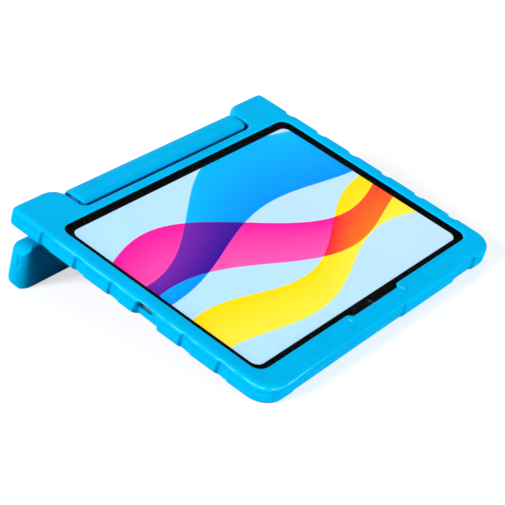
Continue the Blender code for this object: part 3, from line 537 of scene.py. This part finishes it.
def display_material():
    """A lit picture of three wavy bands, one over the other, on a pale ground."""
    mat, tree, shader = new_material("display", SCREEN_PLAIN, roughness=0.4, specular=0.01)
    p = Painter(tree)
    azure_at, azure_in = p.ribbon(*AZURE_BAND)
    pink_at, pink_in = p.ribbon(*PINK_BAND)
    gold_at, gold_in = p.ribbon(*GOLD_BAND)
    pink = p.mix(azure_in, p.gradient(pink_at, PINK), p.gradient(azure_at, VIOLET))
    gold = p.mix(pink_in, p.gradient(gold_at, GOLD), p.gradient(gold_at, ORANGE))
    picture = p.gradient(p.x, GROUND, (-SCREEN_HALF, SCREEN_HALF))
    picture = p.mix(azure_in, picture, p.gradient(azure_at, AZURE))
    picture = p.mix(pink_in, picture, pink)
    picture = p.mix(gold_in, picture, gold)
    tree.links.new(p.mix(PICTURE_BASE, BLACK, picture), shader.inputs["Base Color"])
    tree.links.new(picture, shader.inputs["Emission Color"])
    shader.inputs["Emission Strength"].default_value = PICTURE_GLOW
    return mat


def finish_solid(node, mat):
    """Gives a piece that keeps its solid its material and smooth shading."""
    mesh = NODES[node].data
    mesh.materials.clear()
    mesh.materials.append(mat)
    mesh.shade_smooth()
    mesh.set_sharp_from_angle(angle=math.radians(SHARP_ANGLE))


# Foam skins

def foam_skin(node, body, details):
    """A finer mesh of one foam moulding, with its edges softened and small marks pressed in."""
    mesh = NODES[node].data.copy()
    mesh.name = node + "_skin"
    mesh.transform(TABLET.inverted())
    skin = bpy.data.objects.new(node + "_skin", mesh)
    bpy.context.scene.collection.objects.link(skin)
    refine = skin.modifiers.new("refine", "REMESH")
    refine.mode = "VOXEL"
    refine.voxel_size = VOXEL
    relax = skin.modifiers.new("relax", "SMOOTH")
    relax.factor = RELAX_SHARE
    relax.iterations = RELAX_STEPS
    apply_modifiers(skin)
    press(skin.data, details)
    count = sum(len(face.vertices) - 2 for face in skin.data.polygons)
    if count > SKIN_FACES:
        thin = skin.modifiers.new("thin", "DECIMATE")
        thin.ratio = SKIN_FACES / count
        apply_modifiers(skin)
    skin.data.transform(TABLET)
    skin.data.shade_smooth()
    skin.data.materials.clear()
    skin.data.materials.append(FOAM)
    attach(skin, body)
    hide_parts(node)


def apply_modifiers(obj):
    bpy.context.view_layer.update()
    depsgraph = bpy.context.evaluated_depsgraph_get()
    mesh = bpy.data.meshes.new_from_object(obj.evaluated_get(depsgraph))
    obj.modifiers.clear()
    obj.data = mesh


def press(mesh, details):
    """Moves the mesh's points by what each detail function gives, in the tablet's frame."""
    count = len(mesh.vertices)
    co = np.empty(count * 3, np.float32)
    mesh.vertices.foreach_get("co", co)
    normals = np.empty(count * 3, np.float32)
    mesh.vertex_normals.foreach_get("vector", normals)
    co = co.reshape(-1, 3).astype(float)
    normals = normals.reshape(-1, 3).astype(float)
    for detail in details:
        co += detail(co, normals)
    mesh.vertices.foreach_set("co", co.astype(np.float32).ravel())
    mesh.update()


def hump(distance, width):
    """1 where the distance is 0, and smoothly down to 0 past about twice the width."""
    return np.exp(-(distance / width) ** 2)


def within(value, low, high, fade):
    """1 between low and high, with a soft start and end."""
    return np.clip((value - low) / fade + 0.5, 0, 1) * np.clip((high - value) / fade + 0.5, 0, 1)


def parting_line(co, normals):
    """The mould's parting line: a fine groove round the outer walls under the top edge."""
    level = hump(co[:, 2] - PARTING_LEVEL, PARTING_WIDTH)
    outside = (np.abs(co[:, 0]) > CASE_SIDE - WALL_BAND) | (co[:, 1] < WALL_NEAR) | (co[:, 1] > WALL_FAR)
    upright = within(np.abs(normals[:, 2]), -1.0, WALL_LEAN, LEAN_FADE)
    return normals * (-PARTING_DEPTH * level * upright * outside)[:, None]


def rim_dents(co, normals):
    """Shallow ring-shaped dents along the near rim's top face."""
    depth = np.zeros(len(co))
    for x, y in DENT_PLACES_MM:
        away = np.hypot((co[:, 0] - x * MM) / DENT_STRETCH, co[:, 1] - y * MM)
        depth += hump(away - DENT_RING, DENT_WIDTH)
    top = co[:, 2] > CASE_TOP - RIM_TOP_BAND
    return normals * (-DENT_DEPTH * depth * top)[:, None]


def bar_crease(co, normals):
    """A fine crease along the hinge bar's top, a little behind its middle."""
    along = within(co[:, 0], -CREASE_END, CREASE_END, CREASE_FADE)
    level = hump(co[:, 1] - HINGE.y - CREASE_BACK, CREASE_WIDTH)
    top = co[:, 2] > CASE_TOP - BAR_TOP_BAND
    return normals * (-CREASE_DEPTH * along * level * top)[:, None]


def foot_marks(co, normals):
    """An upright slot mark in each end face of the foot."""
    end = np.abs(co[:, 0]) > FOOT_END - FOOT_END_BAND
    run = co[:, 2] - SLOT_LEVEL
    off = co[:, 1] - HINGE.y - SLOT_BACK - SLOT_SWAY * np.sin(run / SLOT_WAVE)
    mark = hump(off, SLOT_WIDTH) * within(run, -SLOT_HALF, SLOT_HALF, SLOT_FADE)
    return np.sign(co[:, :1]) * [[-1, 0, 0]] * (SLOT_DEPTH * mark * end)[:, None]


def fillet_shift(first, second, radius, chosen):
    """How far points move in from an edge's two faces, to lie inside a fillet along it.
    First and second are the depths of each point under the two faces."""
    a = radius - first
    b = radius - second
    length = np.maximum(np.hypot(a, b), 0.1 * MM)
    past = np.where(chosen & (a > 0) & (b > 0), np.clip(1 - radius / length, 0, 1), 0)
    return a * past, b * past


def foot_corners(co, normals):
    """Rounds the foot's upright front edges, more so towards the sole."""
    share = np.clip((FOOT_TOP - co[:, 2]) / (FOOT_TOP - FOOT_LOW), 0, 1)
    radius = FOOT_CORNER_TOP + (FOOT_CORNER_LOW - FOOT_CORNER_TOP) * share
    from_end = FOOT_END - np.abs(co[:, 0])
    from_front = co[:, 1] - (HINGE.y - FOOT_FRONT)
    along, back = fillet_shift(from_end, from_front, radius, co[:, 2] < FOOT_TOP)
    return np.stack([-np.sign(co[:, 0]) * along, back, np.zeros(len(co))], axis=1)


def wing_corners(co, normals):
    """Rounds the upper outer corners of the handle's two wings."""
    from_end = FOOT_END - np.abs(co[:, 0])
    below_top = WING_TOP - co[:, 2]
    beside_bar = (from_end < 2 * WING_CORNER) & (below_top > -MM)
    along, down = fillet_shift(from_end, below_top, WING_CORNER, beside_bar)
    return np.stack([-np.sign(co[:, 0]) * along, np.zeros(len(co)), -down], axis=1)


def sole_edge(co, normals):
    """Rounds the sole's back edge. The sole is level, so its depth is a height above the floor."""
    from_back = HINGE.y + FOOT_BACK - co[:, 1]
    above_floor = GLASS_MIDDLE.z + co[:, 1] * math.sin(STAND_TILT) + co[:, 2] * math.cos(STAND_TILT)
    forward, up = fillet_shift(from_back, above_floor, SOLE_EDGE, co[:, 2] < FOOT_TOP)
    return np.stack([np.zeros(len(co)), -forward, up], axis=1)


# Assembly

make_camera()
make_world()
make_sun("left_light", towards=(-0.90, 0.33, 0.40), share=1.45, disc=25.0)
make_sun("front_light", towards=(0.12, -0.95, 0.18), share=1.3, disc=30.0)
make_sun("back_light", towards=(0.55, 0.75, 0.35), share=0.42, disc=35.0)
make_floor()

FOAM = foam_material()
FINISHES = (
    (plastic_material("hinge_plastic", (0.01, 0.2, 0.55), 0.4),
     ("hinge_pin_left", "hinge_pin_right", "hinge_bush_left", "hinge_bush_right")),
    (metal_material("tablet_metal", (0.75, 0.77, 0.8), 0.3),
     ("tablet_housing", "rear_camera_ring", "power_button", "volume_up_button", "volume_down_button")),
    (glass_material(), ("cover_glass",)),
    (plastic_material("gasket", (0.0008, 0.0008, 0.0009), 0.7, specular=0.01), ("display_gasket",)),
    (display_material(), ("display_panel",)),
    (plastic_material("camera_glass", (0.003, 0.004, 0.012), 0.08, specular=0.1),
     ("front_camera", "rear_camera_lens")),
    (metal_material("port_steel", (0.6, 0.6, 0.62), 0.3, stretch=(1.0, 12.0, 1.0)), ("usb_c_port",)),
    (plastic_material("circuit_board", (0.01, 0.1, 0.05), 0.5), ("logic_board",)),
    (plastic_material("battery_film", (0.03, 0.03, 0.035), 0.45), ("battery_left", "battery_right")),
    (plastic_material("speaker_plastic", (0.01, 0.01, 0.01), 0.5), ("speaker_left", "speaker_right")),
)
for finish, names in FINISHES:
    for name in names:
        finish_solid(name, finish)

foam_skin("case_body", "root", [parting_line, rim_dents])
foam_skin("handle", "handle", [bar_crease, foot_corners, wing_corners, sole_edge, foot_marks])

scene = bpy.context.scene
scene.view_settings.view_transform = "Standard"
